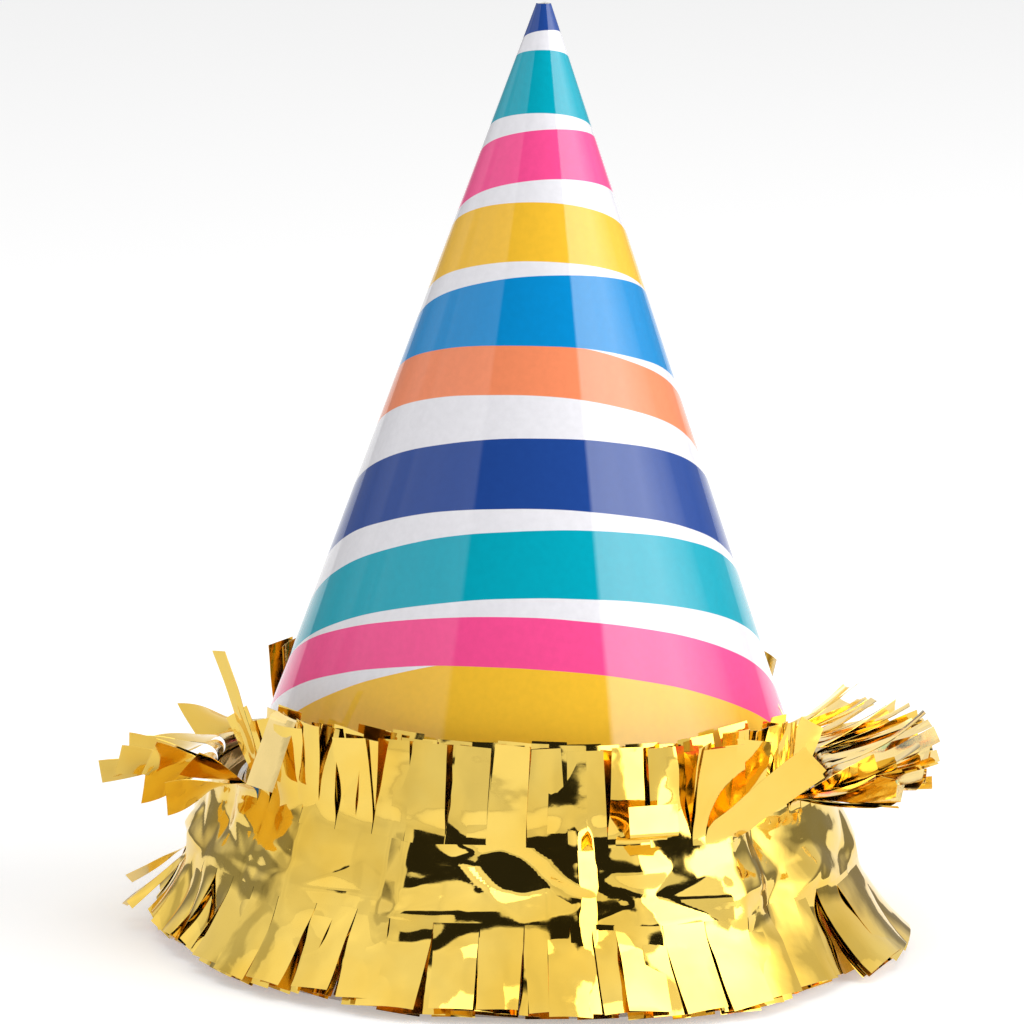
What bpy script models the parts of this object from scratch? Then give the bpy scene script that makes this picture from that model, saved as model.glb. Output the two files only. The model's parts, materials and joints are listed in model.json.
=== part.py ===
"""Party hat: a rolled card cone with a two-ply fringe of slit foil film glued round its foot.

Metres, +Z up. The origin is on the resting plane under the tip, the front is -Y and the card's seam is at the back.
Azimuths turn round +Z from the front (-Y) towards +X.
"""

import math

import bmesh
import bpy
from mathutils import Matrix, Vector

# Cone of card
HAT_HEIGHT = 0.1565
RIM_RADIUS = 0.0564  # outside of the card at the rim
TIP_RADIUS = 0.0012  # outside of the card at the small open tip
CARD = 0.0004
CARD_FACETS = 96
SEAM_OVERLAP_FACETS = 4  # how far the card's outer edge laps over its inner edge
SEAM_RAMP_FACETS = 4  # over which the outer edge climbs onto the inner one
SEAM_TAPE = 0.0002
SEAM_TAPE_FACETS = 2
SEAM_TAPE_LOW = 0.004
SEAM_TAPE_HIGH = 0.137

# Punched holes for an elastic
HOLE_RADIUS = 0.0015
HOLE_HEIGHT = 0.008

# Fringe: a strip of film with an uncut middle band, slit into tabs above and below it
FILM = 0.0002
BAND_BOTTOM = 0.0150
BAND_TOP = 0.0265
UPPER_REACH = 0.0155  # band edge to the tips of the outer ply's upper tabs
PLY_STEP = 0.0008  # the inner ply's tabs are this much longer than the outer ply's
ROOT_STRIP = 0.0018  # uncut film between a comb's fold and its slits
SLIT = 0.0005
SECTORS = 12
TABS_IN_COMB = 4
FRINGE_TAPE_MARGIN = 0.0012  # the tape stays this far inside the band's edges

# How far the fringe stands out from the card, in degrees
UPPER_REST = 10.0
UPPER_REST_AT_SIDES = 80.0
SIDE_SPAN = 30.0  # how far from the hat's two sides a sector still counts as one of them
LOWER_REST = 8.0

# Clearances
GAP = 0.0002  # between faces that touch on the real hat
FOLD_GAP = 0.0003  # between the band's edge and a comb
SIDE_GAP = 0.0004  # between a comb and the plane it shares with its neighbour
HEM_CLEARANCE = 0.0005  # the lowest tabs, pressed flat, stay this far above the resting plane
CUTTER_MARGIN = 0.010

# Worked out from the sizes above
SLOPE = math.atan2(RIM_RADIUS - TIP_RADIUS, HAT_HEIGHT)
FACET = 2 * math.pi / CARD_FACETS
HALF_SECTOR = math.pi / SECTORS
SEAM_RISE = GAP + SEAM_TAPE + GAP + CARD
BAND_STANDOFF = SEAM_RISE + GAP
INNER_PLY_FACE = BAND_STANDOFF + FILM  # outer face of the inner ply, measured square to the card
OUTER_PLY_FACE = INNER_PLY_FACE + GAP + FILM
LOWER_REACH = (BAND_BOTTOM - HEM_CLEARANCE) / math.cos(SLOPE) - PLY_STEP


def card_radius(height, stand_off=0.0):
    """Radius, at a height, of the face that stands off the outside of the card by a distance square to it."""
    share = height / HAT_HEIGHT
    return RIM_RADIUS + (TIP_RADIUS - RIM_RADIUS) * share + stand_off / math.cos(SLOPE)


def outward(azimuth):
    return Vector((math.sin(azimuth), -math.cos(azimuth), 0.0))


def tangent(azimuth):
    return Vector((math.cos(azimuth), math.sin(azimuth), 0.0))


def make_material(name, colour, roughness, metallic=0.0, coat=0.0):
    material = bpy.data.materials.new(name)
    material.use_nodes = True
    shader = material.node_tree.nodes["Principled BSDF"]
    shader.inputs["Base Color"].default_value = (*colour, 1.0)
    shader.inputs["Roughness"].default_value = roughness
    shader.inputs["Metallic"].default_value = metallic
    shader.inputs["Coat Weight"].default_value = coat
    material.diffuse_color = (*colour, 1.0)
    return material


def place(obj, collection, material=None):
    collection.objects.link(obj)
    if material is not None:
        obj.data.materials.append(material)
    return obj


def finish_round(mesh):
    mesh.shade_smooth()
    mesh.set_sharp_from_angle(angle=math.radians(30))


def thicken(obj, thickness):
    """Gives an open surface a wall that lies inside of it."""
    wall = obj.modifiers.new("wall", "SOLIDIFY")
    wall.thickness = thickness
    wall.offset = -1.0
    wall.use_even_offset = True


def cut(obj, cutter):
    boolean = obj.modifiers.new(cutter.name, "BOOLEAN")
    boolean.operation = "DIFFERENCE"
    boolean.object = cutter


def wrapped_strip(name, azimuths, stand_offs, low, high, thickness):
    """A strip that wraps round the cone, from the first azimuth to the last; its outer face has the stand-offs."""
    mesh = bpy.data.meshes.new(name)
    bm = bmesh.new()
    foot = [
        bm.verts.new(outward(azimuth) * card_radius(low, stand_off) + Vector((0.0, 0.0, low)))
        for azimuth, stand_off in zip(azimuths, stand_offs)
    ]
    edges = [bm.edges.new(pair) for pair in zip(foot, foot[1:])]
    raised = bmesh.ops.extrude_edge_only(bm, edges=edges)["geom"]
    rise = Vector((0.0, 0.0, high - low))
    shrink = card_radius(low) - card_radius(high)
    for vert in (item for item in raised if isinstance(item, bmesh.types.BMVert)):
        inward = -Vector((vert.co.x, vert.co.y, 0.0)).normalized()
        vert.co += rise + inward * shrink
    bm.normal_update()
    first = bm.faces[:][0]
    if first.normal.dot(Vector((*first.calc_center_median().xy, 0.0))) < 0:
        bmesh.ops.reverse_faces(bm, faces=bm.faces[:])
    bm.to_mesh(mesh)
    bm.free()
    finish_round(mesh)
    obj = bpy.data.objects.new(name, mesh)
    thicken(obj, thickness)
    return obj


def make_cone_shell(parts, cutters, material):
    """The card, rolled so that one edge laps over the other at the back, cut flat at the rim and punched."""
    first_facet = -SEAM_OVERLAP_FACETS / 2
    facets = CARD_FACETS + SEAM_OVERLAP_FACETS
    azimuths = [math.pi + (first_facet + step) * FACET for step in range(facets + 1)]
    ramp_start = CARD_FACETS - SEAM_RAMP_FACETS
    climbs = [min(max((step - ramp_start) / SEAM_RAMP_FACETS, 0.0), 1.0) for step in range(facets + 1)]
    stand_offs = [climb * SEAM_RISE for climb in climbs]
    shell = place(
        wrapped_strip("cone_shell", azimuths, stand_offs, -CARD, HAT_HEIGHT, CARD), parts, material
    )
    wide = 2 * (RIM_RADIUS + SEAM_RISE + CUTTER_MARGIN)
    bpy.ops.mesh.primitive_cube_add(size=1.0, location=(0.0, 0.0, -CUTTER_MARGIN / 2))
    floor_cut = as_cutter("rim_cut", cutters)
    floor_cut.scale = (wide, wide, CUTTER_MARGIN)
    bpy.ops.mesh.primitive_cylinder_add(
        radius=HOLE_RADIUS, depth=wide, vertices=24, location=(0.0, 0.0, HOLE_HEIGHT),
        rotation=(0.0, math.pi / 2, 0.0),
    )
    punch = as_cutter("elastic_holes_cut", cutters)
    cut(shell, floor_cut)
    cut(shell, punch)


def as_cutter(name, cutters):
    """Names the primitive just added and puts it away with the cutters."""
    cutter = bpy.context.object
    for collection in list(cutter.users_collection):
        collection.objects.unlink(cutter)
    cutter.name = name
    cutters.objects.link(cutter)
    cutter.hide_render = True
    cutter.display_type = "WIRE"
    return cutter


def make_seam_tape(parts, material):
    steps = [step - SEAM_TAPE_FACETS / 2 for step in range(SEAM_TAPE_FACETS + 1)]
    azimuths = [math.pi + step * FACET for step in steps]
    stand_offs = [GAP + SEAM_TAPE] * len(azimuths)
    tape = wrapped_strip("seam_tape", azimuths, stand_offs, SEAM_TAPE_LOW, SEAM_TAPE_HIGH, SEAM_TAPE)
    place(tape, parts, material)


def make_fringe_tape(parts, material):
    """The foam tape that holds the fringe: it stops short of the seam's step on both sides."""
    open_facets = SEAM_OVERLAP_FACETS / 2 + SEAM_RAMP_FACETS + 1
    facets = int(CARD_FACETS - 2 * open_facets)
    azimuths = [-math.pi + (open_facets + step) * FACET for step in range(facets + 1)]
    stand_offs = [BAND_STANDOFF - GAP] * len(azimuths)
    low = BAND_BOTTOM + FRINGE_TAPE_MARGIN
    high = BAND_TOP - FRINGE_TAPE_MARGIN
    tape = wrapped_strip("fringe_tape", azimuths, stand_offs, low, high, BAND_STANDOFF - 2 * GAP)
    place(tape, parts, material)


def make_band(name, face, parts, material):
    """One ply's uncut middle: a ring with one flat for each sector of the fringe."""
    mesh = bpy.data.meshes.new(name)
    bm = bmesh.new()
    bmesh.ops.create_cone(
        bm,
        cap_ends=False,
        segments=SECTORS,
        radius1=card_radius(BAND_BOTTOM, face) / math.cos(HALF_SECTOR),
        radius2=card_radius(BAND_TOP, face) / math.cos(HALF_SECTOR),
        depth=BAND_TOP - BAND_BOTTOM,
        matrix=Matrix.Translation((0.0, 0.0, (BAND_TOP + BAND_BOTTOM) / 2)),
    )
    bm.to_mesh(mesh)
    bm.free()
    band = place(bpy.data.objects.new(name, mesh), parts, material)
    thicken(band, FILM)


def comb_outline(slits, half_width, reach):
    """Corners of a comb of film tabs, anticlockwise: the slits are shares of the half width at their height."""
    corners = [(-half_width(FOLD_GAP), FOLD_GAP), (half_width(FOLD_GAP), FOLD_GAP)]
    sides = [-1.0, *slits, 1.0]
    for left, right in reversed(list(zip(sides, sides[1:]))):
        left_inset = SLIT / 2 if left > -1.0 else 0.0
        right_inset = SLIT / 2 if right < 1.0 else 0.0
        if right < 1.0:
            corners.append((right * half_width(ROOT_STRIP) - right_inset, ROOT_STRIP))
        corners.append((right * half_width(reach) - right_inset, reach))
        corners.append((left * half_width(reach) + left_inset, reach))
        if left > -1.0:
            corners.append((left * half_width(ROOT_STRIP) + left_inset, ROOT_STRIP))
    return corners


def make_comb(name, corners, depth, hinge, parts, material):
    """A flat comb of film, parented to its fold, a distance behind the outer ply."""
    curve = bpy.data.curves.new(name, "CURVE")
    curve.dimensions = "2D"
    curve.fill_mode = "BOTH"
    curve.extrude = FILM / 2
    spline = curve.splines.new("POLY")
    spline.points.add(len(corners) - 1)
    for point, (across, along) in zip(spline.points, corners):
        point.co = (across, along, 0.0, 1.0)
    spline.use_cyclic_u = True
    comb = place(bpy.data.objects.new(name, curve), parts, material)
    comb.parent = hinge
    comb.location = (0.0, 0.0, -depth)


def upper_rest(azimuth):
    """The upper tabs lie close to the card, but for those at the two sides of the hat, which are fluffed out."""
    at_side = abs(math.sin(azimuth)) > math.cos(math.radians(SIDE_SPAN))
    return UPPER_REST_AT_SIDES if at_side else UPPER_REST


def make_fold(name, azimuth, height, side, flare, parts):
    """An empty on the fold line: X along the fold, Y along the tabs, Z out; side is 1 above and -1 below."""
    along_fold = tangent(azimuth) * side
    lean = flare - side * SLOPE
    along_tabs = outward(azimuth) * math.sin(lean) + Vector((0.0, 0.0, side)) * math.cos(lean)
    out = along_fold.cross(along_tabs)
    turn = Matrix((along_fold, along_tabs, out)).transposed().to_4x4()
    radius = card_radius(height, OUTER_PLY_FACE - FILM / 2)
    spot = outward(azimuth) * radius + Vector((0.0, 0.0, height))
    hinge = bpy.data.objects.new(name, None)
    hinge.empty_display_size = ROOT_STRIP
    parts.objects.link(hinge)
    hinge.matrix_world = Matrix.Translation(spot) @ turn
    return hinge


def make_fringe(row, side, height, reach, parts, material):
    """A row of combs, two plies to each sector; the inner ply's slits fall between the outer ply's."""
    tab = 2.0 / TABS_IN_COMB
    outer_slits = [-1.0 + tab * step for step in range(1, TABS_IN_COMB)]
    inner_slits = [-1.0 + tab * (step + 0.5) for step in range(TABS_IN_COMB)]
    for sector in range(SECTORS):
        azimuth = (2 * sector + 1) * HALF_SECTOR
        flare = math.radians(upper_rest(azimuth) if side > 0 else LOWER_REST)
        number = f"{sector + 1:02d}"
        hinge = make_fold(f"{row}_fold_{number}", azimuth, height, side, flare, parts)

        def half_width(along):
            narrowing = along if side > 0 else 0.0
            radius = card_radius(height, BAND_STANDOFF) - narrowing * math.sin(SLOPE)
            return radius * math.tan(HALF_SECTOR) - SIDE_GAP

        outer = comb_outline(outer_slits, half_width, reach)
        inner = comb_outline(inner_slits, half_width, reach + PLY_STEP)
        make_comb(f"{row}_outer_{number}", outer, 0.0, hinge, parts, material)
        make_comb(f"{row}_inner_{number}", inner, FILM + GAP, hinge, parts, material)


def make_collection(name):
    collection = bpy.data.collections.new(name)
    bpy.context.scene.collection.children.link(collection)
    return collection


def main():
    for obj in list(bpy.data.objects):
        bpy.data.objects.remove(obj, do_unlink=True)
    parts = make_collection("party_hat")
    cutters = make_collection("cutters")
    card = make_material("printed_card", (0.02, 0.40, 0.50), 0.25, coat=1.0)
    tape = make_material("adhesive_tape", (0.85, 0.85, 0.82), 0.60)
    foil = make_material("gold_foil", (0.90, 0.68, 0.22), 0.18, metallic=1.0)
    make_cone_shell(parts, cutters, card)
    make_seam_tape(parts, tape)
    make_fringe_tape(parts, tape)
    make_band("foil_band_inner", INNER_PLY_FACE, parts, foil)
    make_band("foil_band_outer", OUTER_PLY_FACE, parts, foil)
    make_fringe("upper", 1, BAND_TOP, UPPER_REACH, parts, foil)
    make_fringe("lower", -1, BAND_BOTTOM, LOWER_REACH, parts, foil)


main()
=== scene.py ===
"""Party hat: a glossy striped card cone with a crumpled gold foil fringe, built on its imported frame."""

import json
import math
import random

import bmesh
import bpy
from mathutils import Matrix, Quaternion, Vector, noise


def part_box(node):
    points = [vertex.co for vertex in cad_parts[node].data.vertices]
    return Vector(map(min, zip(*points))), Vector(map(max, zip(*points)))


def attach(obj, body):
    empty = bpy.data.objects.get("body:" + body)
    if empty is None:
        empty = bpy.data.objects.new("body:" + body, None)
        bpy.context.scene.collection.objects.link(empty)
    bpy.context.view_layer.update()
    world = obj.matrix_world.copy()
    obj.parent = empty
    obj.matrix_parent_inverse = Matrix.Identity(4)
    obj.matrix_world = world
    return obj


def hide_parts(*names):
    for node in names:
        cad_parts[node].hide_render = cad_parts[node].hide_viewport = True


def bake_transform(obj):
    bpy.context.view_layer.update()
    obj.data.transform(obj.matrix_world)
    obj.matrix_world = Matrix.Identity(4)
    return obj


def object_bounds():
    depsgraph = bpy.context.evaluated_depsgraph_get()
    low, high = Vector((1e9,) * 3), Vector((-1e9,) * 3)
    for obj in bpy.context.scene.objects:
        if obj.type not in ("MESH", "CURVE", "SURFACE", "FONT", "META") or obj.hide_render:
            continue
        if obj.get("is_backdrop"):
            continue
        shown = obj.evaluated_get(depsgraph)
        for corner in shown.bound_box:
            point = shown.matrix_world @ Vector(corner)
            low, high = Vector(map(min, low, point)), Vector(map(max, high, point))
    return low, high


bl_info = {
    "name": "Striped Party Hat",
    "version": (1, 0, 0),
    "blender": (4, 5, 0),
    "location": "3D Viewport > Sidebar > Party Hat",
    "description": "Builds a rolled card party hat with stripes and a slit foil fringe",
    "category": "Add Mesh",
}

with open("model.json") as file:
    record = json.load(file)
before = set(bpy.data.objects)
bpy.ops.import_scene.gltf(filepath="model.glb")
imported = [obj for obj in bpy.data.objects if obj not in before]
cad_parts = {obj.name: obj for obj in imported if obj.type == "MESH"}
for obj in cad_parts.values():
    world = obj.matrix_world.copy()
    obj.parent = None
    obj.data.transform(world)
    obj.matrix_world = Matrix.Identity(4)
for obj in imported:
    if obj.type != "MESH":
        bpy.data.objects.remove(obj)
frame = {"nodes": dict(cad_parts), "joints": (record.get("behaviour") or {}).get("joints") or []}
CAD_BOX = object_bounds()
_, SHELL_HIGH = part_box("cone_shell")
BAND_LOW, BAND_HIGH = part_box("foil_band_outer")
JOINTS = {joint["name"]: joint for joint in frame["joints"]}
SECTORS = len(JOINTS) // 2

MM = 0.001
UV_METRE = 5.0  # UV units to a metre of flat card


# ---------------------------------------------------------------- settings


class HatSizes(bpy.types.PropertyGroup):
    height: bpy.props.FloatProperty(
        name="Height", description="Rim to open tip", default=SHELL_HIGH.z, unit="LENGTH"
    )
    rim_radius: bpy.props.FloatProperty(
        name="Rim radius", description="Outside of the card at the rim", default=SHELL_HIGH.x,
        unit="LENGTH",
    )
    tip_radius: bpy.props.FloatProperty(
        name="Tip radius", description="Outside of the card at the open tip", default=0.0012,
        unit="LENGTH",
    )
    card: bpy.props.FloatProperty(
        name="Card", description="Thickness of the card", default=0.0004, unit="LENGTH"
    )
    seam_rise: bpy.props.FloatProperty(
        name="Seam rise", description="Height of the outer edge of the card over the inner one",
        default=0.0010, unit="LENGTH",
    )
    seam_lap: bpy.props.FloatProperty(
        name="Seam lap", description="Angle that the card laps over itself",
        default=math.radians(15), subtype="ANGLE",
    )
    seam_ramp: bpy.props.FloatProperty(
        name="Seam ramp", description="Angle over which the outer edge climbs",
        default=math.radians(15), subtype="ANGLE",
    )
    hole_radius: bpy.props.FloatProperty(
        name="Hole radius", description="Punched holes for an elastic", default=0.0015,
        unit="LENGTH",
    )
    hole_height: bpy.props.FloatProperty(
        name="Hole height", description="Holes above the rim", default=0.008, unit="LENGTH"
    )
    film: bpy.props.FloatProperty(
        name="Film", description="Thickness of the foil film", default=0.00006, unit="LENGTH"
    )
    ply_gap: bpy.props.FloatProperty(
        name="Ply gap", description="Distance between plies of film", default=0.0003, unit="LENGTH"
    )
    band_stand_off: bpy.props.FloatProperty(
        name="Band stand-off", description="Film band to card, where the film lies closest",
        default=0.0017, unit="LENGTH",
    )


def colour(name, description, default):
    return bpy.props.FloatVectorProperty(
        name=name, description=description, default=default, subtype="COLOR", min=0.0, max=1.0
    )


class PrintColours(bpy.types.PropertyGroup):
    white: colour("White", "Unprinted laminated card", (0.82, 0.81, 0.85))
    navy: colour("Navy", "Navy stripes and the tip", (0.015, 0.062, 0.29))
    teal: colour("Teal", "Teal stripes", (0.001, 0.375, 0.49))
    pink: colour("Pink", "Pink stripes", (0.93, 0.08, 0.29))
    yellow: colour("Yellow", "Yellow stripes", (0.90, 0.52, 0.035))
    blue: colour("Blue", "Blue stripes", (0.002, 0.255, 0.61))
    orange: colour("Orange", "Orange stripes", (0.90, 0.265, 0.12))
    board: colour("Board", "Bare inside of the card", (0.78, 0.77, 0.74))


class FoilFinish(bpy.types.PropertyGroup):
    gold: colour("Gold", "Bright side of the film", (0.83, 0.585, 0.125))
    deep: colour("Deep gold", "Deeper patches of the bright side", (0.80, 0.52, 0.08))
    reverse: colour("Reverse", "Hazy reverse of the film", (0.88, 0.665, 0.27))
    tape: colour("Tape", "Double-sided tape", (0.86, 0.85, 0.80))


class StudioSettings(bpy.types.PropertyGroup):
    key_radiance: bpy.props.FloatProperty(
        name="Key light", description="Brightness of the large light on the right", default=4.0
    )
    left_radiance: bpy.props.FloatProperty(
        name="Left light", description="Brightness of the large light on the left", default=0.45
    )
    top_radiance: bpy.props.FloatProperty(
        name="Top light", description="Brightness of the light overhead", default=1.6
    )
    fill: bpy.props.FloatProperty(
        name="Fill", description="Brightness of the even fill light", default=0.51
    )
    left_wall: bpy.props.FloatProperty(
        name="Left wall", description="Its brightness in the gloss", default=0.95
    )
    right_wall: bpy.props.FloatProperty(
        name="Right wall", description="Its brightness in the gloss", default=4.2
    )
    back_wall: bpy.props.FloatProperty(
        name="Back wall", description="Its brightness in the gloss", default=0.9
    )
    low_front: bpy.props.FloatProperty(
        name="Low front", description="Its brightness in the gloss", default=0.95
    )
    ceiling: bpy.props.FloatProperty(
        name="Ceiling", description="Its brightness in the gloss", default=1.1
    )
    dark: bpy.props.FloatProperty(
        name="Gap", description="Brightness of the unlit gap in front", default=0.024
    )
    elevation: bpy.props.FloatProperty(
        name="Camera elevation", description="Camera above the horizon",
        default=math.radians(11), subtype="ANGLE",
    )
    roll: bpy.props.FloatProperty(
        name="Camera roll", description="Turn about the line of sight",
        default=math.radians(1.23), subtype="ANGLE",
    )
    distance: bpy.props.FloatProperty(
        name="Camera distance", description="Camera to hat", default=1.0, unit="LENGTH"
    )


def sizes():
    return bpy.context.scene.hat_sizes


# ---------------------------------------------------------------- shapes of the card


def slope():
    s = sizes()
    return math.atan2(s.rim_radius - s.tip_radius, s.height)


def card_radius(height, stand_off=0.0):
    """Radius of the face that stands off the outside of the card by a distance square to it."""
    s = sizes()
    bare = s.rim_radius + (s.tip_radius - s.rim_radius) * (height / s.height)
    return bare + stand_off / math.cos(slope())


def outward(azimuth):
    """Unit vector away from the axis; azimuth 0 is the front, and it turns towards +X."""
    return Vector((math.sin(azimuth), -math.cos(azimuth), 0.0))


def sideways(azimuth):
    """Unit vector round the hat, the way that the azimuth grows."""
    return Vector((math.cos(azimuth), math.sin(azimuth), 0.0))


def smooth(value):
    """Eases from 0 to 1 as the value does, and stays there beyond."""
    value = min(max(value, 0.0), 1.0)
    return value * value * (3.0 - 2.0 * value)


def wrap_angle(angle):
    """The same angle within half a turn of 0."""
    return (angle + math.pi) % (2 * math.pi) - math.pi


# ---------------------------------------------------------------- pieces and materials


def finish_piece(name, bm, materials, body=None):
    """Makes the object of a finished bmesh, with its materials, and on its body if one is given."""
    mesh = bpy.data.meshes.new(name)
    bm.to_mesh(mesh)
    bm.free()
    for material in materials:
        mesh.materials.append(material)
    mesh.shade_smooth()
    piece = bpy.data.objects.new(name, mesh)
    bpy.context.scene.collection.objects.link(piece)
    if body:
        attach(piece, body)
    return piece


def apply_modifiers(piece):
    """Keeps the piece as its modifiers leave it."""
    graph = bpy.context.evaluated_depsgraph_get()
    mesh = bpy.data.meshes.new_from_object(piece.evaluated_get(graph))
    piece.modifiers.clear()
    piece.data = mesh


def new_material(name):
    """A new material, with its node tree and its shader."""
    material = bpy.data.materials.new(name)
    material.use_nodes = True
    shader = material.node_tree.nodes["Principled BSDF"]
    return material, material.node_tree, shader


def node(tree, kind, **settings):
    """Adds a node with these settings."""
    made = tree.nodes.new(kind)
    for key, value in settings.items():
        setattr(made, key, value)
    return made


def maths(tree, operation, first, second=None, third=None):
    """A Math node; each input is a socket or a number."""
    made = node(tree, "ShaderNodeMath", operation=operation)
    for socket, value in zip(made.inputs, (first, second, third)):
        if value is None:
            continue
        if isinstance(value, bpy.types.NodeSocket):
            tree.links.new(value, socket)
        else:
            socket.default_value = value
    return made.outputs[0]


def noise_of(tree, vector, scale, detail=2.0, roughness=0.5):
    """A noise texture's value at a place."""
    made = node(tree, "ShaderNodeTexNoise")
    made.inputs["Scale"].default_value = scale
    made.inputs["Detail"].default_value = detail
    made.inputs["Roughness"].default_value = roughness
    tree.links.new(vector, made.inputs["Vector"])
    return made.outputs["Fac"]


def mix_colour(tree, share, first, second, blend="MIX"):
    """Mixes two colours; the share and the colours are sockets or plain values."""
    made = node(tree, "ShaderNodeMix", data_type="RGBA", blend_type=blend)
    sockets = (made.inputs[0], made.inputs[6], made.inputs[7])
    for socket, value in zip(sockets, (share, first, second)):
        if isinstance(value, bpy.types.NodeSocket):
            tree.links.new(value, socket)
        elif isinstance(value, float):
            socket.default_value = value
        else:
            socket.default_value = (*value, 1.0)
    return made.outputs[2]


def span(tree, value, low, high, to_low=0.0, to_high=1.0):
    """Maps a value between low and high to a new range, and holds it there beyond them."""
    made = node(tree, "ShaderNodeMapRange")
    ends = {"From Min": low, "From Max": high, "To Min": to_low, "To Max": to_high}
    for name, number in ends.items():
        made.inputs[name].default_value = number
    tree.links.new(value, made.inputs["Value"])
    return made.outputs["Result"]


def add_bump(tree, shader, height, distance, coat=False):
    """Relief of this depth, on the surface and, if asked, on its coat."""
    bump = node(tree, "ShaderNodeBump")
    bump.inputs["Distance"].default_value = distance
    bump.inputs["Strength"].default_value = 1.0
    tree.links.new(height, bump.inputs["Height"])
    tree.links.new(bump.outputs["Normal"], shader.inputs["Normal"])
    if coat:
        tree.links.new(bump.outputs["Normal"], shader.inputs["Coat Normal"])


# ---------------------------------------------------------------- printed card

# Each stripe on the flat sheet: its colour, then its upper and lower edge. An edge is its distance in
# millimetres from the sheet's point at the middle, and how it tilts, bows and swings towards the sides.
# A later stripe is printed over an earlier one.
STRIPES = (
    ("navy", (-5.0, 0.0, 0.0, 0.0), (8.0, -6.0, 0.0, 0.0)),
    ("teal", (11.3, 0.0, 0.0, 0.0), (21.9, 0.0, 3.0, 0.0)),
    ("pink", (24.7, -4.5, 1.5, 0.0), (33.1, -4.2, 2.6, 0.0)),
    ("yellow", (36.8, 0.6, 3.8, 0.0), (46.5, -0.3, 2.7, 0.0)),
    ("orange", (59.8, 5.0, -0.3, 0.0), (68.7, 2.1, 2.1, 0.0)),
    ("blue", (48.9, -3.9, 1.3, 0.0), (60.5, 0.7, -0.9, 0.0)),
    ("navy", (75.7, -1.1, 1.3, 0.0), (87.3, -0.3, 1.4, 0.0)),
    ("yellow", (111.2, -4.4, 2.5, 0.0), (126.0, 0.4, 1.2, 0.0)),
    ("pink", (105.1, 0.9, 1.2, 0.4), (113.3, 2.1, 1.6, 0.0)),
    ("teal", (90.8, -2.6, 1.9, 0.0), (101.9, -1.6, 1.0, 0.0)),
    ("blue", (128.2, 1.0, 0.0, 0.0), (138.0, -1.0, 0.0, 0.0)),
    ("pink", (142.0, 1.5, 0.0, 0.0), (151.0, 0.0, 0.0, 0.0)),
    ("orange", (155.0, -1.0, 0.0, 0.0), (164.0, 1.0, 0.0, 0.0)),
)
HALF_SHEET = 50 * MM  # places across the sheet are counted in this
SHEET_REACH = 1.4  # the edges bend out to this many half sheets, and run straight beyond
EDGE_SOFTNESS = 0.08 * MM
EDGE_WAVER = 0.8 * MM
CARD_COLUMNS, CARD_ROWS = 216, 64


def edge_distance(tree, across, edge):
    """Distance down the sheet of a stripe's edge, at a place across it counted in half sheets."""
    middle, tilt, bow, swing = (number * MM for number in edge)
    total = maths(tree, "MULTIPLY_ADD", across, swing, bow)
    total = maths(tree, "MULTIPLY_ADD", total, across, tilt)
    return maths(tree, "MULTIPLY_ADD", total, across, middle)


def print_material():
    """Gloss-laminated card, printed with stripes that are laid out on the flat sheet."""
    colours = bpy.context.scene.hat_print
    material, tree, shader = new_material("printed_card")
    uv = node(tree, "ShaderNodeUVMap", uv_map="sheet")
    apart = node(tree, "ShaderNodeSeparateXYZ")
    tree.links.new(uv.outputs["UV"], apart.inputs[0])
    waver = noise_of(tree, uv.outputs["UV"], 9.0, 1.0)
    across = maths(tree, "DIVIDE", apart.outputs["X"], HALF_SHEET * UV_METRE)
    across = maths(tree, "MINIMUM", maths(tree, "MAXIMUM", across, -SHEET_REACH), SHEET_REACH)
    down = maths(tree, "DIVIDE", apart.outputs["Y"], UV_METRE)
    down = maths(tree, "MULTIPLY_ADD", maths(tree, "SUBTRACT", waver, 0.5), EDGE_WAVER, down)
    ink = tuple(colours.white)
    for name, upper, lower in STRIPES:
        below = maths(tree, "SUBTRACT", down, edge_distance(tree, across, upper))
        above = maths(tree, "SUBTRACT", edge_distance(tree, across, lower), down)
        inside = maths(tree, "MINIMUM", below, above)
        share = span(tree, inside, -EDGE_SOFTNESS / 2, EDGE_SOFTNESS / 2)
        ink = mix_colour(tree, share, ink, tuple(getattr(colours, name)))
    place = node(tree, "ShaderNodeTexCoord").outputs["Object"]
    mottle = span(tree, noise_of(tree, place, 900.0, 3.0), 0.3, 0.7, 0.965, 1.02)
    shade = node(tree, "ShaderNodeCombineColor")
    for socket in shade.inputs:
        tree.links.new(mottle, socket)
    ink = mix_colour(tree, 1.0, ink, shade.outputs[0], "MULTIPLY")
    tree.links.new(ink, shader.inputs["Base Color"])
    rough = span(tree, noise_of(tree, place, 60.0, 4.0), 0.3, 0.7, 0.30, 0.40)
    tree.links.new(rough, shader.inputs["Roughness"])
    shader.inputs["Specular IOR Level"].default_value = 0.0
    shader.inputs["Coat Weight"].default_value = 1.0
    shader.inputs["Coat Roughness"].default_value = 0.035
    shader.inputs["Coat IOR"].default_value = 1.5
    ripple = noise_of(tree, place, 26.0, 2.0, 0.4)
    grain = noise_of(tree, place, 1400.0, 2.0)
    height = maths(tree, "MULTIPLY_ADD", grain, 0.006, ripple)
    add_bump(tree, shader, height, 0.10 * MM, coat=True)
    return material


def board_material():
    """Bare white board: the inside of the card and its cut edges."""
    material, tree, shader = new_material("bare_board")
    place = node(tree, "ShaderNodeTexCoord").outputs["Object"]
    fibres = noise_of(tree, place, 700.0, 5.0, 0.7)
    board = tuple(bpy.context.scene.hat_print.board)
    dull = tuple(channel * 0.93 for channel in board)
    tree.links.new(mix_colour(tree, fibres, board, dull), shader.inputs["Base Color"])
    shader.inputs["Roughness"].default_value = 0.75
    add_bump(tree, shader, fibres, 0.05 * MM)
    return material


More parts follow.
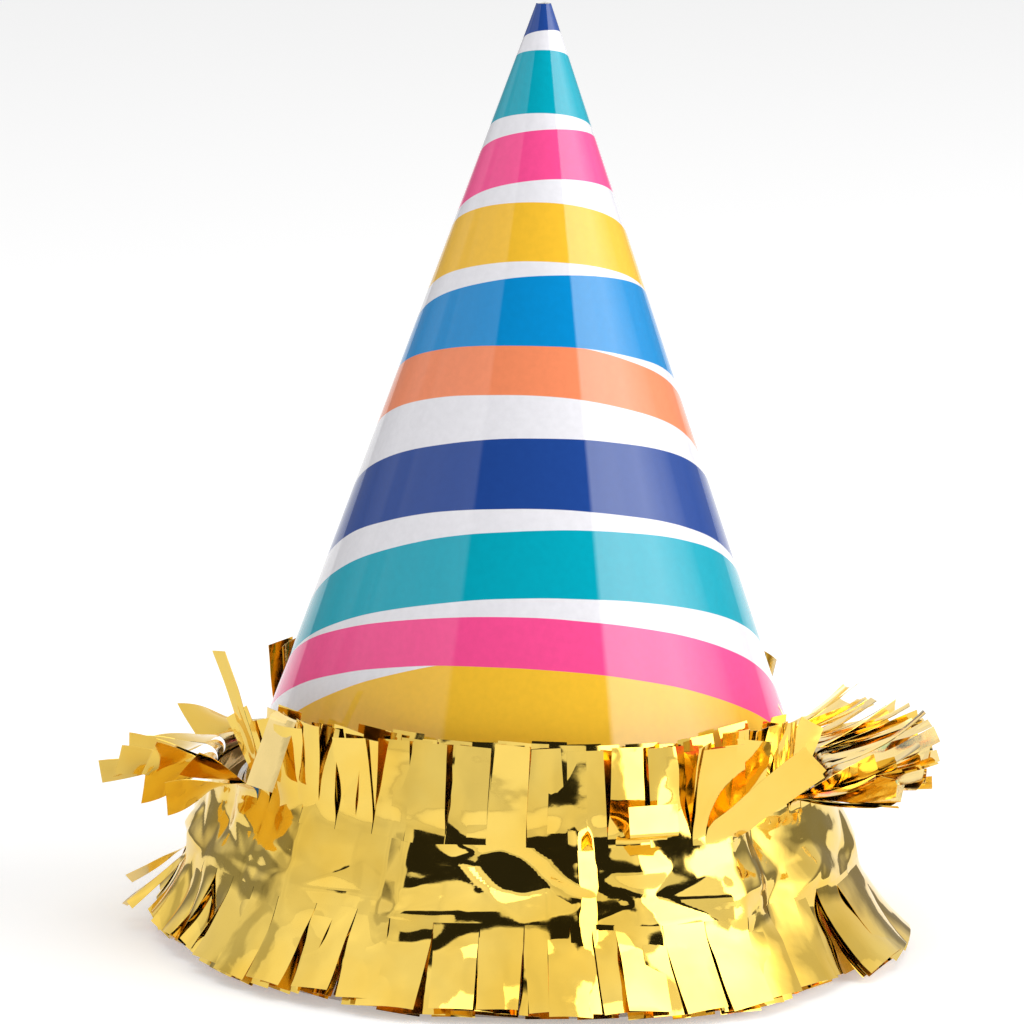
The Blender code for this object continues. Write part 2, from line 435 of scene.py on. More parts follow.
def rolled_sheet():
    """The outside of the card, rolled with a lap at the back. Its UV is its place on the flat sheet."""
    s = sizes()
    bm = bmesh.new()
    bmesh.ops.create_grid(bm, x_segments=CARD_COLUMNS, y_segments=CARD_ROWS, size=0.5)
    sheet_uv = bm.loops.layers.uv.new("sheet")
    turn = 2 * math.pi + s.seam_lap
    apex = s.height * s.rim_radius / (s.rim_radius - s.tip_radius)
    flat = {}
    for vert in bm.verts:
        share, rise = vert.co.x + 0.5, vert.co.y + 0.5
        azimuth = share * turn - s.seam_lap / 2 - math.pi
        climb = smooth((share * turn - (2 * math.pi - s.seam_ramp)) / s.seam_ramp)
        height = rise * (s.height + s.card) - s.card
        radius = card_radius(height, climb * s.seam_rise)
        slant = (apex - height) / math.cos(slope())
        turned = azimuth * math.sin(slope())
        flat[vert] = (slant * math.sin(turned) * UV_METRE, slant * math.cos(turned) * UV_METRE)
        vert.co = outward(azimuth) * radius + Vector((0.0, 0.0, height))
    for face in bm.faces:
        for loop in face.loops:
            loop[sheet_uv].uv = flat[loop.vert]
    bm.normal_update()
    first = bm.faces[:][0]
    middle = first.calc_center_median()
    if first.normal.dot(Vector((middle.x, middle.y, 0.0))) < 0:
        bmesh.ops.reverse_faces(bm, faces=bm.faces[:])
    return bm


def make_card_cone():
    """The rolled card with its wall, cut flat at the rim and punched on both sides for an elastic."""
    materials = [print_material(), board_material()]
    cone = finish_piece("card_cone", rolled_sheet(), materials)
    wall = cone.modifiers.new("wall", "SOLIDIFY")
    wall.thickness = sizes().card
    wall.offset = -1.0
    wall.use_even_offset = True
    wall.material_offset = 1
    wall.material_offset_rim = 1
    cutters = [rim_cutter(), hole_cutter()]
    for cutter in cutters:
        cut = cone.modifiers.new(cutter.name, "BOOLEAN")
        cut.operation = "DIFFERENCE"
        cut.object = cutter
    apply_modifiers(cone)
    for cutter in cutters:
        bpy.data.objects.remove(cutter, do_unlink=True)
    cone.data.set_sharp_from_angle(angle=math.radians(40))
    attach(cone, "hat")
    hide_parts("cone_shell")


def rim_cutter():
    """A slab under the resting plane."""
    deep = 10 * MM
    wide = 4 * sizes().rim_radius
    bm = bmesh.new()
    place = Matrix.Translation((0.0, 0.0, -deep / 2)) @ Matrix.Diagonal((wide, wide, deep, 1.0))
    bmesh.ops.create_cube(bm, size=1.0, matrix=place)
    return finish_piece("rim_cut", bm, [bpy.data.materials["bare_board"]])


def hole_cutter():
    """A punch that goes through both sides of the cone."""
    s = sizes()
    bm = bmesh.new()
    place = Matrix.Translation((0.0, 0.0, s.hole_height)) @ Matrix.Rotation(math.pi / 2, 4, "Y")
    bmesh.ops.create_cone(
        bm, cap_ends=True, segments=40, radius1=s.hole_radius, radius2=s.hole_radius,
        depth=4 * s.rim_radius, matrix=place,
    )
    return finish_piece("hole_cut", bm, [bpy.data.materials["bare_board"]])


# ---------------------------------------------------------------- foil film


def foil_material():
    """Mirror-bright gold film: softly uneven colour, fine creases and a few scuffs."""
    finish = bpy.context.scene.hat_foil
    material, tree, shader = new_material("gold_foil")
    place = node(tree, "ShaderNodeTexCoord").outputs["Object"]
    patches = span(tree, noise_of(tree, place, 55.0, 3.0), 0.42, 0.66)
    gold = mix_colour(tree, patches, tuple(finish.gold), tuple(finish.deep))
    tree.links.new(gold, shader.inputs["Base Color"])
    shader.inputs["Metallic"].default_value = 1.0
    scuffs = span(tree, noise_of(tree, place, 240.0, 5.0, 0.65), 0.5, 0.8, 0.05, 0.14)
    tree.links.new(scuffs, shader.inputs["Roughness"])
    soft = noise_of(tree, place, 170.0, 2.0, 0.45)
    fine = noise_of(tree, place, 900.0, 2.0)
    height = maths(tree, "MULTIPLY_ADD", fine, 0.04, soft)
    add_bump(tree, shader, height, 0.12 * MM)
    return material


def reverse_material():
    """The film's reverse: paler, hazier gold."""
    reverse = tuple(bpy.context.scene.hat_foil.reverse)
    material, tree, shader = new_material("foil_reverse")
    place = node(tree, "ShaderNodeTexCoord").outputs["Object"]
    patches = noise_of(tree, place, 80.0, 3.0)
    paler = tuple(min(channel * 1.12, 1.0) for channel in reverse)
    tree.links.new(mix_colour(tree, patches, reverse, paler), shader.inputs["Base Color"])
    shader.inputs["Metallic"].default_value = 1.0
    haze = span(tree, noise_of(tree, place, 300.0, 4.0, 0.6), 0.4, 0.7, 0.10, 0.24)
    tree.links.new(haze, shader.inputs["Roughness"])
    add_bump(tree, shader, noise_of(tree, place, 190.0, 3.0), 0.12 * MM)
    return material


def tape_material():
    """Pale double-sided tape with a faint gauze in it."""
    material, tree, shader = new_material("tape")
    place = node(tree, "ShaderNodeTexCoord").outputs["Object"]
    tape = tuple(bpy.context.scene.hat_foil.tape)
    dull = tuple(channel * 0.9 for channel in tape)
    gauze = noise_of(tree, place, 1200.0, 3.0)
    tree.links.new(mix_colour(tree, gauze, tape, dull), shader.inputs["Base Color"])
    shader.inputs["Roughness"].default_value = 0.6
    add_bump(tree, shader, gauze, 0.03 * MM)
    return material


# ---------------------------------------------------------------- the film's crumples

# Where the band's middle is loose round the card: azimuth and reach in degrees, and puff in millimetres.
LOOSE_PLACES = ((-92, 58, 2.3), (85, 50, 1.0), (180, 60, 0.6))
LEAST_PUFF = 0.5  # millimetres
# Where the dents are wider and shallower: azimuth and reach in degrees.
CALM_PLACES = ((-42, 34), (76, 34))
DENT_COUNT, DENT_SEED = 44, 11
# Upright pleats of the band: azimuth in degrees, and in millimetres how far each reaches to the left and
# to the right, and how far it stands out.
PLEATS = ((9, 5, 3.5, 1.6), (37, 25, 9, 4.6), (-22, 4, 14, 1.6), (-44, 13, 11, 2.2))
CREASE = 0.22 * MM  # a crease is rounded by this much
RUMPLE = 0.5 * MM  # the film's soft unevenness
BAND_EASE = 0.6 * MM  # the dents are pressed into the band from this far out


def near(azimuth, middle, reach):
    """1 at a middle given in degrees, and 0 beyond its reach."""
    return smooth(1.0 - abs(wrap_angle(azimuth - math.radians(middle))) / math.radians(reach))


def waist(azimuth):
    """How far the fringe's middle puffs out from the card; it is loosest at the two sides."""
    puff = LEAST_PUFF
    for middle, reach, more in LOOSE_PLACES:
        puff += more * near(azimuth, middle, reach)
    return puff * MM


def random_dents():
    """Diamond dents of the crushed band: azimuth, height, half of its width and height, depth, slant."""
    rng = random.Random(DENT_SEED)
    dents = []
    for index in range(DENT_COUNT):
        azimuth = (index + rng.uniform(-0.6, 0.6)) * 2 * math.pi / DENT_COUNT
        calm = sum(near(azimuth, *place) for place in CALM_PLACES)
        dents.append((
            azimuth,
            rng.uniform(BAND_LOW.z, BAND_HIGH.z),
            rng.uniform(6, 14) * MM * (1 + 0.5 * calm),
            rng.uniform(4.0, 8.5) * MM,
            rng.choice((1, 1, -1)) * rng.uniform(0.6, 1.5) * MM * (1 - 0.35 * calm),
            rng.uniform(-0.35, 0.35),
        ))
    return dents


DENTS = random_dents()


def crumple(azimuth, height):
    """Dents and creases of the crushed band, as a stand-off."""
    total = 0.0
    for middle, level, half_width, half_height, depth, slant in DENTS:
        along = wrap_angle(azimuth - middle) * sizes().rim_radius
        if abs(along) > 2 * half_width:
            continue
        up = height - level - slant * along
        spread = math.hypot(along, CREASE) / half_width + math.hypot(up, CREASE) / half_height
        total += depth * max(0.0, 1.0 - spread)
    for middle, left, right, depth in PLEATS:
        along = wrap_angle(azimuth - math.radians(middle)) * sizes().rim_radius
        reach = (right if along > 0 else left) * MM
        total += depth * MM * max(0.0, 1.0 - math.hypot(along, CREASE) / reach)
    around = Vector((math.cos(azimuth), math.sin(azimuth), height / (18 * MM))) * 3.2
    return total + RUMPLE * noise.noise(around)


def film_point(azimuth, height, ply):
    """A point of one ply of the band of film."""
    s = sizes()
    stand_off = s.band_stand_off + waist(azimuth) + BAND_EASE + crumple(azimuth, height)
    stand_off = max(stand_off, s.band_stand_off) - ply * s.ply_gap
    return outward(azimuth) * card_radius(height, stand_off) + Vector((0.0, 0.0, height))


def thicken_film(piece):
    """Gives the film its thickness, bright outside and hazy inside."""
    wall = piece.modifiers.new("film", "SOLIDIFY")
    wall.thickness = sizes().film
    wall.offset = 0.0
    wall.material_offset = 1
    wall.material_offset_rim = 0
    apply_modifiers(piece)
    piece.data.set_sharp_from_angle(angle=math.radians(50))


BAND_COLUMNS, BAND_ROWS, BAND_PLIES = 540, 30, 2


def make_band():
    """The uncut middle of the fringe, crumpled round the foot of the cone."""
    width = BAND_HIGH.z - BAND_LOW.z
    bm = bmesh.new()
    for ply in range(BAND_PLIES):
        grid = bmesh.ops.create_grid(bm, x_segments=BAND_COLUMNS, y_segments=BAND_ROWS, size=0.5)
        for vert in grid["verts"]:
            azimuth = (vert.co.x + 0.5) * 2 * math.pi
            height = BAND_LOW.z + (vert.co.y + 0.5) * width
            vert.co = film_point(azimuth % (2 * math.pi), height, ply)
    bmesh.ops.remove_doubles(bm, verts=bm.verts[:], dist=0.01 * MM)
    bmesh.ops.recalc_face_normals(bm, faces=bm.faces[:])
    band = finish_piece("foil_band", bm, foil_pair(), "hat")
    thicken_film(band)
    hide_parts("foil_band_outer", "foil_band_inner")


def foil_pair():
    """The film's bright side, then its reverse."""
    return [bpy.data.materials["gold_foil"], bpy.data.materials["foil_reverse"]]


class Tab:
    """One tab of film: where it is rooted, with its azimuth in radians, and how it bends, in degrees."""

    def __init__(self, azimuth, width, length, flare, **more):
        self.azimuth = azimuth
        self.width = width
        self.length = length
        self.flare = flare  # leaves the card by this much
        self.curl = more.get("curl", 0.0)  # bends on outwards by this much, evenly
        self.kink = more.get("kink", 0.0)  # and by this much at one place
        self.kink_at = more.get("kink_at", 0.6)  # share of its length
        self.lean = more.get("lean", 0.0)  # to the side, at the root
        self.twist = more.get("twist", 0.0)  # at the tip
        self.crown = more.get("crown", 0.0)  # how far its middle stands out, in metres
        self.ply = more.get("ply", 0)  # 0 is the outermost
        self.turn = more.get("turn", 6 * MM)  # length of film over which it leaves the band
        self.taper = more.get("taper", 0.0)  # share of its width lost at the tip


TAB_COLUMNS, TAB_ROWS = 6, 30
SETTLE = 6 * MM  # the band's dents die out along a tab over this length
KINK_SHARE = 0.12  # a kink takes up this share of its tab's length
TAB_DENT, TAB_DENT_LENGTH = 0.3 * MM, 7 * MM  # depth and spacing of a tab's own soft dents


def row_edge(side):
    """Height of the band's edge where the upper (1) or the lower (-1) tabs are rooted."""
    return BAND_HIGH.z if side > 0 else BAND_LOW.z


def root_bend(azimuth, edge, side, ply):
    """The angle at which the band itself runs over its edge, against the card."""
    run = film_point(azimuth, edge, ply) - film_point(azimuth, edge - side * MM, ply)
    return math.atan2(run.dot(outward(azimuth)), side * run.z) + side * slope()


def add_tab(bm, tab, side, rng):
    """Adds a tab's mesh; side is 1 for the upper row and -1 for the lower."""
    edge = row_edge(side)
    centre = film_point(tab.azimuth, edge, tab.ply)
    half_turn = tab.width / 2 / centre.xy.length
    across = sideways(tab.azimuth)
    start = math.degrees(root_bend(tab.azimuth, edge, side, tab.ply))
    path = [centre.copy()]
    headings = []
    step = tab.length / TAB_ROWS
    for row in range(TAB_ROWS + 1):
        along = row * step
        share = along / tab.length
        leave = smooth(along / tab.turn)
        bend = start + (tab.flare - start) * leave + tab.curl * share
        bend += tab.kink * smooth((share - tab.kink_at) / KINK_SHARE + 0.5)
        angle = math.radians(bend) - side * slope()
        lean = math.radians(tab.lean) * leave
        away = outward(tab.azimuth) * math.cos(lean / 2) + across * math.sin(lean / 2)
        heading = away * math.sin(angle) + Vector((0.0, 0.0, side)) * math.cos(angle)
        heading = (heading + across * math.sin(lean)).normalized()
        headings.append(heading)
        path.append(path[-1] + heading * step)
    seed = Vector((rng.uniform(0, 50), rng.uniform(0, 50), rng.uniform(0, 50)))
    grid = bmesh.ops.create_grid(bm, x_segments=TAB_COLUMNS, y_segments=TAB_ROWS, size=0.5)
    for vert in grid["verts"]:
        place, share = vert.co.x * 2, vert.co.y + 0.5
        row = round(share * TAB_ROWS)
        along = share * tab.length
        heading = headings[row]
        flat = (across - heading * across.dot(heading)).normalized()
        turned = Quaternion(heading, math.radians(tab.twist) * smooth(share)) @ flat
        normal = turned.cross(heading) * side
        settle = 1.0 - smooth(along / SETTLE)
        half = tab.width / 2 * (1 - tab.taper * share)
        root = film_point(tab.azimuth + place * half_turn, edge, tab.ply) - centre
        root -= across * place * tab.width / 2
        dent = noise.noise(seed + Vector((place * 0.6, along / TAB_DENT_LENGTH, 0.0)))
        lift = tab.crown * (1 - place * place) * smooth(share * 2) + dent * TAB_DENT * (1 - settle)
        vert.co = path[row] + turned * place * half + normal * lift + root * settle


def jitter(rng, middle, spread):
    """A value drawn from within the spread to either side of the middle."""
    return middle + rng.uniform(-1.0, 1.0) * spread


# How the tabs of a stretch of fringe stand: number of tabs to a sector, plies, and the middle and spread
# of each measure. Each further ply lies closer to the card by "lie". Lengths are in millimetres and
# angles in degrees.
STYLES = {
    "upright": dict(
        tabs=4, plies=3, length=(16.0, 0.4), flare=(12.5, 3), curl=(-2, 6), lean=(0, 3.5),
        twist=(0, 8), crown=(0.15, 0.25), turn=4.0, taper=0.12, lie=6.5,
    ),
    "loose": dict(
        tabs=4, plies=3, length=(16.0, 0.8), flare=(20, 7), curl=(4, 16), lean=(0, 8),
        twist=(0, 22), crown=(0.2, 0.4), turn=4.5, taper=0.08, lie=6.0,
    ),
    "fan": dict(
        tabs=3, plies=1, length=(17.0, 1.5), flare=(122, 7), curl=(-4, 6), lean=(0, 8),
        twist=(46, 16), crown=(0.2, 0.3), turn=5.0, taper=0.0, lie=0.0,
    ),
    "spray": dict(
        tabs=7, plies=4, length=(19.5, 2.5), flare=(108, 12), curl=(-20, 16), lean=(0, 14),
        twist=(0, 50), crown=(0.1, 0.2), turn=4.0, taper=0.1, lie=0.0,
    ),
    "hem": dict(
        tabs=4, plies=3, length=(14.5, 0.3), flare=(9, 2), curl=(11, 6), lean=(0, 3.5),
        twist=(0, 7), crown=(0.15, 0.25), turn=5.0, taper=0.0, lie=6.0,
    ),
    "hem_crushed": dict(
        tabs=5, plies=3, length=(13.8, 0.5), flare=(-7, 3), curl=(26, 8), lean=(0, 6),
        twist=(0, 34), crown=(0.2, 0.8), turn=6.0, taper=0.0, lie=0.0,
    ),
    "hem_trumpet": dict(
        tabs=2, plies=3, length=(16.2, 0.3), flare=(6, 1), curl=(29, 4), lean=(2, 2),
        twist=(0, 5), crown=(0.7, 0.2), turn=7.0, taper=0.0, lie=3.0,
    ),
}
UPPER_STYLES = (
    "upright", "loose", "spray", "spray", "loose", "upright",
    "upright", "loose", "fan", "fan", "loose", "upright",
)
LOWER_STYLES = (
    "hem", "hem", "hem_trumpet", "hem_crushed", "hem", "hem",
    "hem", "hem", "hem_crushed", "hem_crushed", "hem", "hem",
)
PLY_LONGER = 0.35  # millimetres that each further ply is longer
SLIT_LEAVES = (0.975, 0.995)  # share of its room that a tab fills, least and most
FOLD_LENGTH = 3 * MM  # length of film that bends at a fold
DRAWN = ("flare", "curl", "lean", "twist", "crown", "length")  # measures, in the order they are drawn


def styled_tabs(style, azimuth, half_sector, edge, rng):
    """The tabs of one sector, ply by ply; every second ply is slit half a tab further on."""
    look = STYLES[style]
    count = look["tabs"]
    pitch = 2 * half_sector / count
    for ply in range(look["plies"]):
        slits = [0, *(index + 0.5 for index in range(count)), count] if ply % 2 else range(count + 1)
        for low, high in zip(slits[:-1], slits[1:]):
            here = azimuth - half_sector + (low + high) / 2 * pitch
            measures = {name: jitter(rng, *look[name]) for name in DRAWN}
            measures["crown"] *= MM
            length = (measures.pop("length") + PLY_LONGER * ply) * MM
            flare = measures.pop("flare") - look["lie"] * ply
            room = (high - low) * pitch * film_point(here, edge, ply).xy.length
            width = room * rng.uniform(*SLIT_LEAVES)
            turn = look["turn"] * MM
            yield Tab(here, width, length, flare, ply=ply, turn=turn, taper=look["taper"], **measures)


def make_row(row, side, styles, special):
    """A row of film tabs, one piece to a fold; side is 1 for the upper row and -1 for the lower."""
    half_sector = math.pi / SECTORS
    edge = row_edge(side)
    for sector in range(SECTORS):
        number = f"{sector + 1:02d}"
        azimuth = (2 * sector + 1) * half_sector
        rng = random.Random(100 * (2 + side) + sector)
        tabs = list(styled_tabs(styles[sector], azimuth, half_sector, edge, rng))
        tabs += [tab for tab in special if abs(wrap_angle(tab.azimuth - azimuth)) < half_sector]
        bm = bmesh.new()
        for tab in tabs:
            add_tab(bm, tab, side, rng)
        piece = finish_piece(f"{row}_foil_{number}", bm, foil_pair())
        face_outwards(piece, azimuth)
        thicken_film(piece)
        joint = JOINTS[f"{row}_fold_{number}"]
        fold = Vector(joint["pos_m"])
        mean = sum(math.radians(tab.flare) for tab in tabs) / len(tabs) - side * slope()
        run = outward(azimuth) * math.sin(mean) + Vector((0.0, 0.0, side)) * math.cos(mean)
        root = max((film_point(tab.azimuth, edge, 0) - fold).dot(run) for tab in tabs)
        start, end = fold + run * root, fold + run * (root + FOLD_LENGTH)
        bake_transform(piece)
        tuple(start)
        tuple(end)
        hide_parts(f"{row}_outer_{number}", f"{row}_inner_{number}")


def face_outwards(piece, azimuth):
    """Turns the film's bright side, the first in its material list, away from the card."""
    bm = bmesh.new()
    bm.from_mesh(piece.data)
    bm.faces.ensure_lookup_table()
    away = outward(azimuth) + Vector((0.0, 0.0, 0.3))  # a little upwards, for tabs that lie level
    if bm.faces[0].normal.dot(away) < 0:
        bmesh.ops.reverse_faces(bm, faces=bm.faces[:])
    bm.to_mesh(piece.data)
    bm.free()


def lone_tab(azimuth, width, length, flare, crown=0.0, turn=6, **more):
    """A tab that stands by itself: its azimuth in degrees, and its measures in millimetres."""
    return Tab(
        math.radians(azimuth), width * MM, length * MM, flare, crown=crown * MM, turn=turn * MM, **more
    )


def special_upper():
    """Tabs of the upper row that stand by themselves."""
    return [
        lone_tab(-51, 6.0, 30, 14, curl=6, kink=158, kink_at=0.55, twist=-10, crown=0.3),
        lone_tab(21, 8.4, 12, 98, kink=-92, kink_at=0.56, turn=2.5),
        lone_tab(36, 7.0, 20, 44, curl=10, lean=56, twist=-25, crown=0.3, turn=3),
        lone_tab(44, 6.0, 17, 58, curl=-10, lean=38, twist=-35, crown=0.3, turn=3),
        lone_tab(-58.4, 3.2, 28, 38, lean=-3, twist=15, turn=4),
        lone_tab(-88, 6.4, 22, 124, curl=-8, twist=50, turn=4),
        lone_tab(-80, 6.8, 19.5, 110, curl=-8, twist=58, turn=4),
        lone_tab(-71, 6.8, 17.5, 97, curl=-4, twist=66, turn=4),
        lone_tab(-65, 6.2, 13, 86, twist=50, turn=4),
        lone_tab(-58, 5.0, 14, 12, ply=3),
        lone_tab(-57.5, 5.4, 17, 30, lean=-32, twist=18, ply=1, turn=4),
        lone_tab(-56, 4.6, 15, 22, lean=-18, twist=10, ply=1, turn=4),
        lone_tab(31.5, 4.6, 15, 13, ply=3),
        lone_tab(50, 4.4, 17, 18, lean=16, twist=-15, ply=1, turn=4),
        lone_tab(57, 5.2, 17, 27, lean=30, twist=-25, turn=4),
        lone_tab(62, 4.4, 14, 82, lean=38, twist=-30, turn=4),
        lone_tab(67, 4.0, 15, 84, lean=26, twist=-50, turn=4),
        lone_tab(72, 4.0, 16, 92, lean=12, twist=-62, turn=4),
        lone_tab(84, 3.0, 20, 118, lean=-14, curl=-22, twist=40),
    ]


def special_lower():
    """Tabs of the lower row that stand by themselves."""
    return [
        lone_tab(-88, 2.4, 16.5, 26, curl=4, twist=30, turn=3),
        lone_tab(-92, 2.2, 14.5, 34, curl=6, lean=-4, twist=64, turn=3),
        lone_tab(-84, 1.8, 14.5, 24, curl=8, lean=4, twist=-40, turn=3),
        lone_tab(61.5, 5.0, 15.2, 6, curl=12, ply=3),
    ]


# ---------------------------------------------------------------- stage

# Soft lights: name, azimuth and elevation in degrees, and distance, width and height in metres.
LIGHTS = (
    ("key", 77, 21, 1.5, 1.85, 0.75),
    ("left", -70, 24, 1.5, 1.4, 0.75),
    ("top", 10, 72, 1.2, 0.9, 0.7),
)
# The room that shows in the gloss. A wall starts between its first two azimuths and ends between its
# last two, in degrees. Levels are sines of the elevation.
LEFT_WALL = (-108, -94, -42, -39)
RIGHT_WALL = (39, 42, 80, 114)
BACK_WALL = (98, 112)  # to both sides, and all the way round behind
BACK_WALL_LEVELS = (0.10, 0.24)
BACK_WALL_FOOT = 0.34  # share of the back wall's brightness under its first level
LOW_FRONT_LEVELS = (0.23, 0.25)
CEILING_LEVELS = (0.54, 0.58)
FLOOR_RADIUS = 9.0
LENS, SENSOR = 211.0, 36.0
AIM = Vector((-3.4 * MM, 0.0, 71.4 * MM))


def make_floor():
    """A wide pale floor that glows a little."""
    bm = bmesh.new()
    bmesh.ops.create_circle(bm, cap_ends=True, segments=96, radius=FLOOR_RADIUS)
    material, _, shader = new_material("pale_floor")
    shader.inputs["Base Color"].default_value = (0.9, 0.9, 0.9, 1.0)
    shader.inputs["Roughness"].default_value = 0.9
    shader.inputs["Specular IOR Level"].default_value = 0.0
    shader.inputs["Emission Color"].default_value = (1.0, 1.0, 1.0, 1.0)
    shader.inputs["Emission Strength"].default_value = 0.34
    floor = finish_piece("floor", bm, [material])
    floor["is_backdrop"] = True


def make_light(name, azimuth, elevation, distance, width, height, radiance):
    """A soft rectangular light that faces the hat; its power follows from how bright it looks."""
    data = bpy.data.lights.new(name, "AREA")
    data.shape = "RECTANGLE"
    data.size, data.size_y = width, height
    data.energy = radiance * math.pi * width * height
    light = bpy.data.objects.new(name, data)
    bpy.context.scene.collection.objects.link(light)
    target = Vector((0.0, 0.0, sizes().height / 2))
    away = outward(azimuth) * math.cos(elevation) + Vector((0.0, 0.0, math.sin(elevation)))
    light.location = target + away * distance
    light.rotation_mode = "QUATERNION"
    light.rotation_quaternion = away.to_track_quat("Z", "Y")


def make_room():
    """Even fill light all round, and a room whose lit walls, ceiling and unlit gap show in the gloss."""
    studio = bpy.context.scene.hat_studio
    world = bpy.data.worlds.new("room")
    bpy.context.scene.world = world
    world.use_nodes = True
    tree = world.node_tree
    background = tree.nodes["Background"]
    direction = node(tree, "ShaderNodeTexCoord").outputs["Generated"]
    apart = node(tree, "ShaderNodeSeparateXYZ")
    tree.links.new(direction, apart.inputs[0])
    right, back, up = apart.outputs
    azimuth = maths(tree, "ARCTAN2", right, maths(tree, "MULTIPLY", back, -1.0))
    azimuth = maths(tree, "DEGREES", azimuth)
    left_wall = maths(
        tree, "MULTIPLY",
        span(tree, azimuth, *LEFT_WALL[2:], studio.left_wall, 0.0),
        span(tree, azimuth, *LEFT_WALL[:2]),
    )
    behind = span(tree, maths(tree, "ABSOLUTE", azimuth), *BACK_WALL)
    in_front = maths(tree, "SUBTRACT", 1.0, behind)
    foot = BACK_WALL_FOOT * studio.back_wall
    rise = span(tree, up, *BACK_WALL_LEVELS, foot, studio.back_wall)
    behind = maths(tree, "MULTIPLY", behind, rise)
    right_wall = maths(
        tree, "MULTIPLY",
        span(tree, azimuth, *RIGHT_WALL[:2], 0.0, studio.right_wall),
        span(tree, azimuth, *RIGHT_WALL[2:], 1.0, 0.0),
    )
    walls = maths(tree, "ADD", maths(tree, "ADD", left_wall, right_wall), behind)
    low_front = span(tree, up, *LOW_FRONT_LEVELS, studio.low_front, 0.0)
    low_front = maths(tree, "MULTIPLY", low_front, in_front)
    walls = maths(tree, "MAXIMUM", walls, low_front)
    ceiling = span(tree, up, *CEILING_LEVELS, 0.0, studio.ceiling)
    cloudy = span(tree, noise_of(tree, direction, 1.7, 2.0), 0.3, 0.7, 0.88, 1.14)
    gloss = maths(tree, "MULTIPLY", maths(tree, "MAXIMUM", walls, ceiling), cloudy)
    gloss = maths(tree, "MAXIMUM", gloss, studio.dark)
    path = node(tree, "ShaderNodeLightPath")
    beyond_fill = maths(tree, "SUBTRACT", gloss, studio.fill)
    light = maths(tree, "MULTIPLY_ADD", path.outputs["Is Glossy Ray"], beyond_fill, studio.fill)
    seen = maths(tree, "MAXIMUM", light, path.outputs["Is Camera Ray"])
    tree.links.new(seen, background.inputs["Strength"])
    background.inputs["Color"].default_value = (1.0, 1.0, 1.0, 1.0)


def make_camera():
    """A long lens, a little above the hat, with a slight roll."""
    studio = bpy.context.scene.hat_studio
    data = bpy.data.cameras.new("camera")
    data.sensor_width = SENSOR
    data.lens = LENS
    data.clip_end = 50.0
    camera = bpy.data.objects.new("camera", data)
    bpy.context.scene.collection.objects.link(camera)
    away = outward(0.0) * math.cos(studio.elevation) + Vector((0.0, 0.0, math.sin(studio.elevation)))
    camera.location = AIM + away * studio.distance
    camera.rotation_mode = "QUATERNION"
    roll = Quaternion((0.0, 0.0, 1.0), studio.roll)
    camera.rotation_quaternion = away.to_track_quat("Z", "Y") @ roll
    bpy.context.scene.camera = camera


# ---------------------------------------------------------------- operators


class PARTYHAT_OT_stage(bpy.types.Operator):
    """Make the floor, the lights, the room and the camera"""

    bl_idname = "party_hat.stage"
    bl_label = "Stage"

    def execute(self, context):
        make_floor()
        for name, azimuth, elevation, *measures in LIGHTS:
            radiance = getattr(context.scene.hat_studio, f"{name}_radiance")
            make_light(name, math.radians(azimuth), math.radians(elevation), *measures, radiance)
        for name in ("key", "left"):  # the room's walls stand for these two in the gloss
            bpy.data.objects[name].visible_glossy = False
        make_room()
        make_camera()
        context.scene.view_settings.view_transform = "Standard"
        return {"FINISHED"}


class PARTYHAT_OT_cone(bpy.types.Operator):
    """Make the printed card cone"""

    bl_idname = "party_hat.cone"
    bl_label = "Card cone"

    def execute(self, context):
        make_card_cone()
        return {"FINISHED"}


class PARTYHAT_OT_tapes(bpy.types.Operator):
    """Give the seam tape and the fringe tape their finish"""

    bl_idname = "party_hat.tapes"
    bl_label = "Tapes"

    def execute(self, context):
        tape = tape_material()
        for name in ("seam_tape", "fringe_tape"):
            piece = frame["nodes"][name]
            piece.data.materials.clear()
            piece.data.materials.append(tape)
        return {"FINISHED"}


class PARTYHAT_OT_band(bpy.types.Operator):
    """Make the crumpled middle band of the foil fringe"""

    bl_idname = "party_hat.band"
    bl_label = "Foil band"

    def execute(self, context):
        foil_material()
        reverse_material()
        make_band()
        return {"FINISHED"}


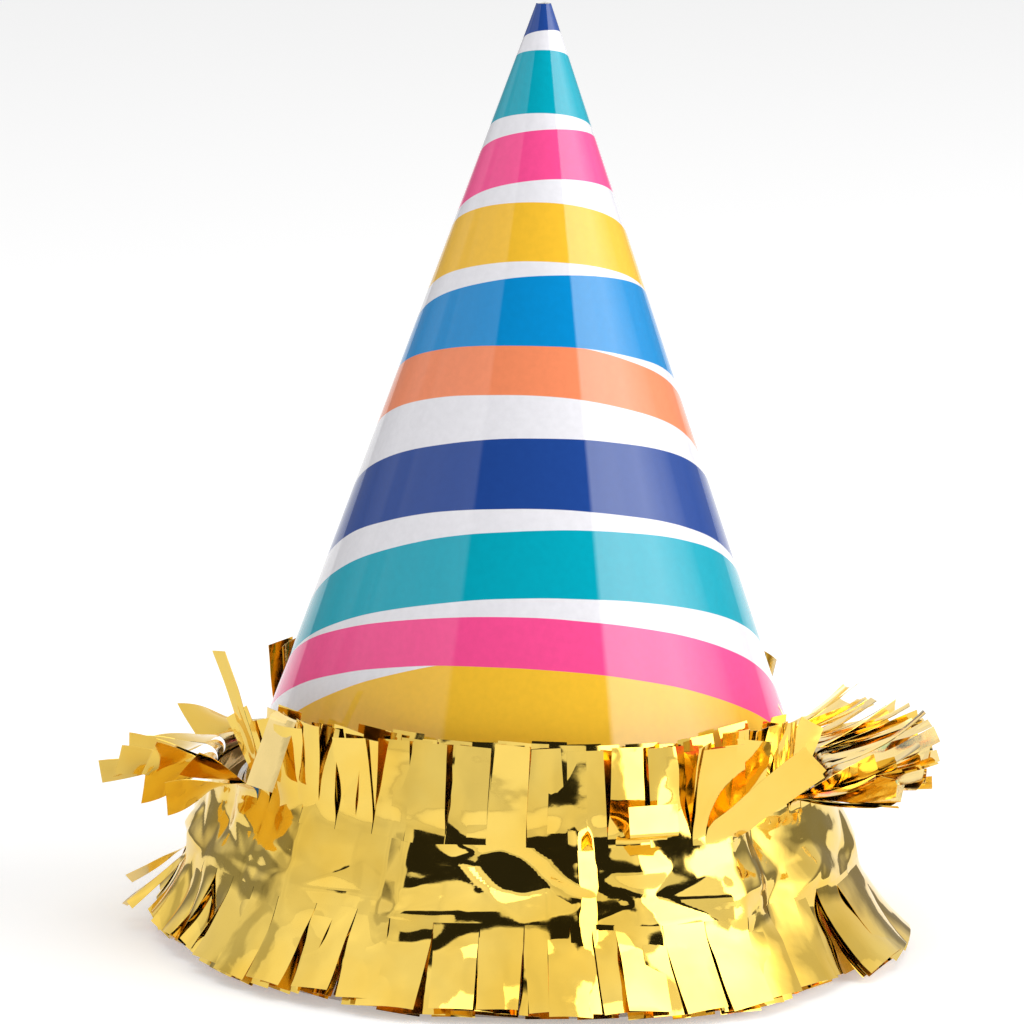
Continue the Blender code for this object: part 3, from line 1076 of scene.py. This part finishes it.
class PARTYHAT_OT_upper_tabs(bpy.types.Operator):
    """Make the upper row of foil tabs"""

    bl_idname = "party_hat.upper_tabs"
    bl_label = "Upper tabs"

    def execute(self, context):
        make_row("upper", 1, UPPER_STYLES, special_upper())
        return {"FINISHED"}


class PARTYHAT_OT_lower_tabs(bpy.types.Operator):
    """Make the lower row of foil tabs"""

    bl_idname = "party_hat.lower_tabs"
    bl_label = "Lower tabs"

    def execute(self, context):
        make_row("lower", -1, LOWER_STYLES, special_lower())
        return {"FINISHED"}


OPERATORS = (
    PARTYHAT_OT_stage,
    PARTYHAT_OT_cone,
    PARTYHAT_OT_tapes,
    PARTYHAT_OT_band,
    PARTYHAT_OT_upper_tabs,
    PARTYHAT_OT_lower_tabs,
)
SETTINGS = (
    ("hat_sizes", HatSizes),
    ("hat_print", PrintColours),
    ("hat_foil", FoilFinish),
    ("hat_studio", StudioSettings),
)


class PARTYHAT_PT_panel(bpy.types.Panel):
    """Lists the hat's pieces and settings"""

    bl_idname = "PARTYHAT_PT_panel"
    bl_label = "Party Hat"
    bl_space_type = "VIEW_3D"
    bl_region_type = "UI"
    bl_category = "Party Hat"

    def draw(self, context):
        for operator in OPERATORS:
            self.layout.operator(operator.bl_idname)
        for name, group in SETTINGS:
            box = self.layout.box()
            for setting in group.__annotations__:
                box.prop(getattr(context.scene, name), setting)


def register():
    for cls in (*(group for _, group in SETTINGS), *OPERATORS, PARTYHAT_PT_panel):
        bpy.utils.register_class(cls)
    for name, group in SETTINGS:
        setattr(bpy.types.Scene, name, bpy.props.PointerProperty(type=group))


def unregister():
    for name, _ in SETTINGS:
        delattr(bpy.types.Scene, name)
    for cls in reversed((*(group for _, group in SETTINGS), *OPERATORS, PARTYHAT_PT_panel)):
        bpy.utils.unregister_class(cls)


def main():
    register()
    bpy.ops.party_hat.stage()
    bpy.ops.party_hat.cone()
    bpy.ops.party_hat.tapes()
    bpy.ops.party_hat.band()
    bpy.ops.party_hat.upper_tabs()
    bpy.ops.party_hat.lower_tabs()
    boxes = {"cad": CAD_BOX, "visual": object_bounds()}
    {name: [list(corner) for corner in box] for name, box in boxes.items()}


if __name__ == "__main__":
    main()
